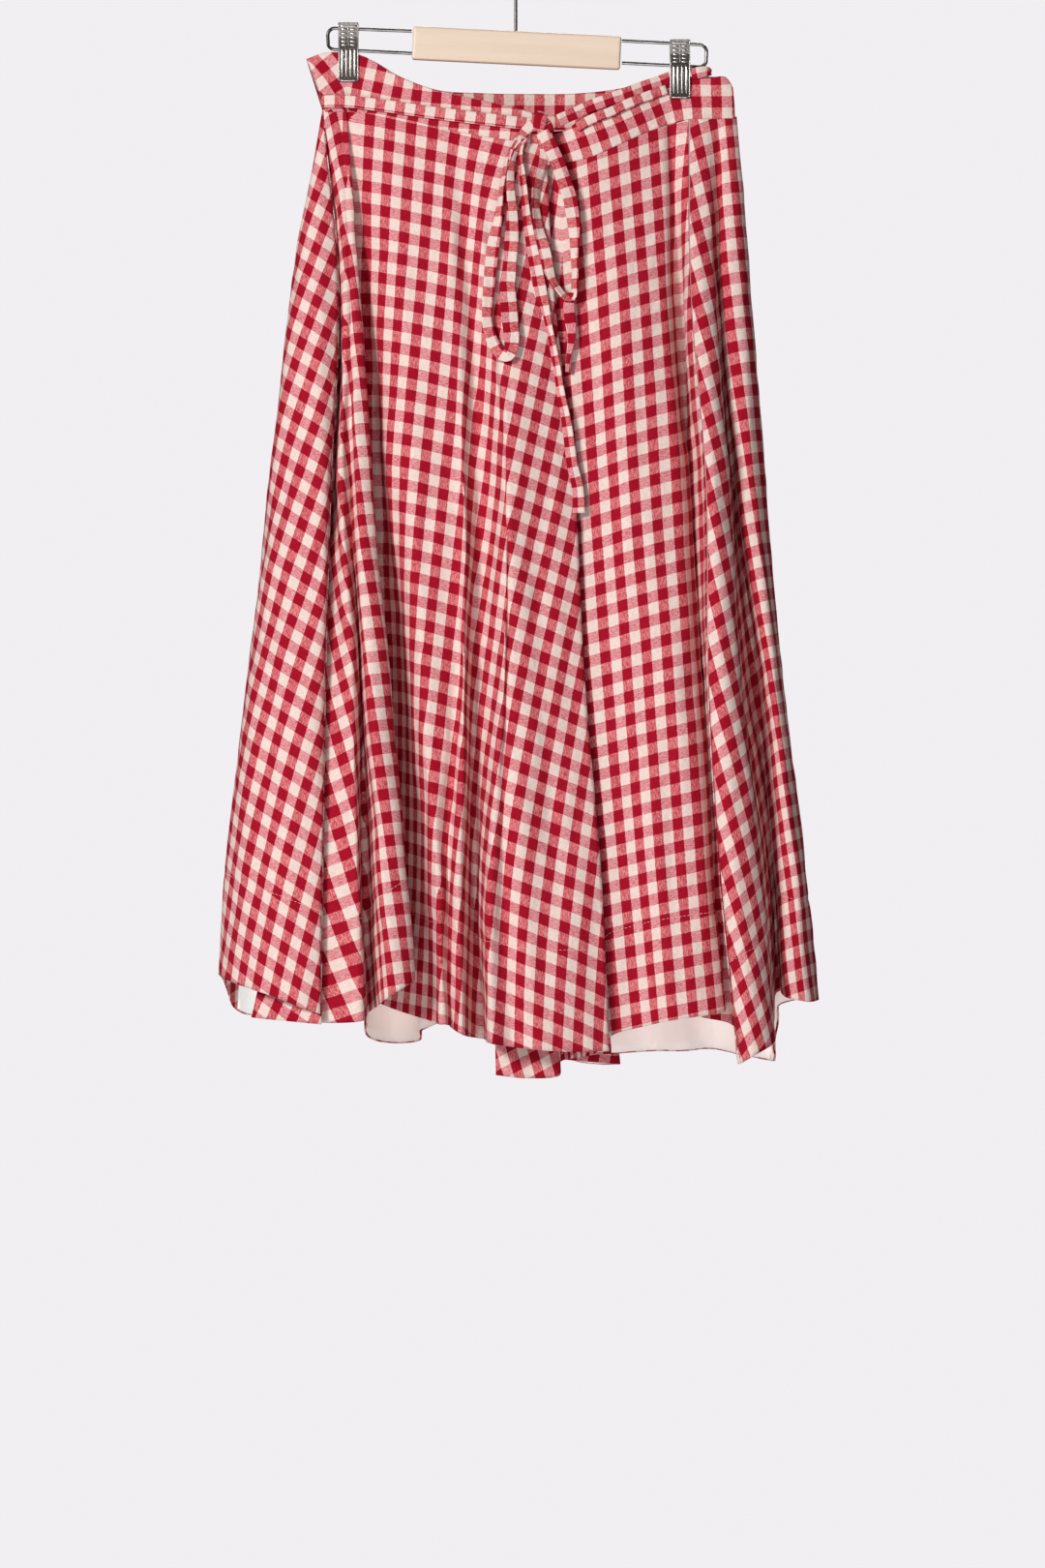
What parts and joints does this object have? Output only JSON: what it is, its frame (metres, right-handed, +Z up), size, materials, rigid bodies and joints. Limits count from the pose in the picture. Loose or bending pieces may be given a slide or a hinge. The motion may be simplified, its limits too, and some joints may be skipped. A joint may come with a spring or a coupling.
{
  "type": "wrap skirt on a clip hanger",
  "caption": "Calf-length flared wrap skirt in checked cloth, tied in a bow at the waist, hanging from the clips of a wooden bar hanger.",
  "frame": {"origin": "under the crown of the hook, where a rail carries the hanger", "axes": "+Z up, the front of the skirt faces -Y, +X to the right seen from the front"},
  "size_m": [0.5164, 0.1749, 1.0028],
  "materials": {
    "gingham": "matt slubby linen, red and cream gingham",
    "lining": "matt plain pale cotton",
    "wood": "pale birch, satin",
    "wire": "bright steel wire",
    "clip": "nickelled sheet steel"
  },
  "bodies": {
    "root": {"panel_over_front": "gingham", "panel_under_front": "gingham", "panel_back_left": "gingham", "panel_back_right": "gingham", "lining_back": "lining", "band_over": "gingham", "band_under": "gingham", "band_back": "gingham", "tie_over": "gingham", "tie_under_top": "gingham", "tie_under_low": "gingham", "tie_loop": "gingham", "knot": "gingham", "bow_left": "gingham", "bow_right": "gingham", "tail_long": "gingham", "tail_short": "gingham", "hanger_bar": "wood", "hanger_hook": "wire", "wire_left": "wire", "wire_right": "wire", "clip_left_front": "clip", "clip_left_back": "clip", "clip_left_pin": "clip", "clip_right_front": "clip", "clip_right_back": "clip", "clip_right_pin": "clip"}
  },
  "joints": []
}
